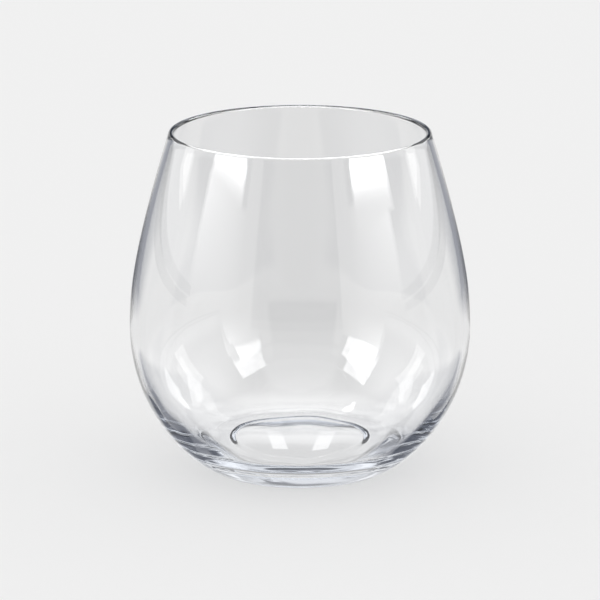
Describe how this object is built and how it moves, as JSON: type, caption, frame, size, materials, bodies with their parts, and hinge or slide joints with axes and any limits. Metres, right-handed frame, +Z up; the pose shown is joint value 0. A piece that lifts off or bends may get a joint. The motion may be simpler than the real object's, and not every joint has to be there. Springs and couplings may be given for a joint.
{
  "type": "stemless wine glass",
  "caption": "Clear stemless wine glass: an egg-shaped bowl narrowing to a rounded rim, with a heavy bottom and a flat standing ring around a shallow hollow.",
  "frame": {"origin": "on the glass's axis, at the level of the surface that it stands on", "axes": "+Z up along the glass's axis, towards the mouth; the glass is the same all round, so X and Y are free"},
  "size_m": [0.1004, 0.1004, 0.1],
  "materials": {
    "clear_glass": "polished"
  },
  "bodies": {
    "root": {"glass_bowl": "clear_glass"}
  },
  "joints": []
}
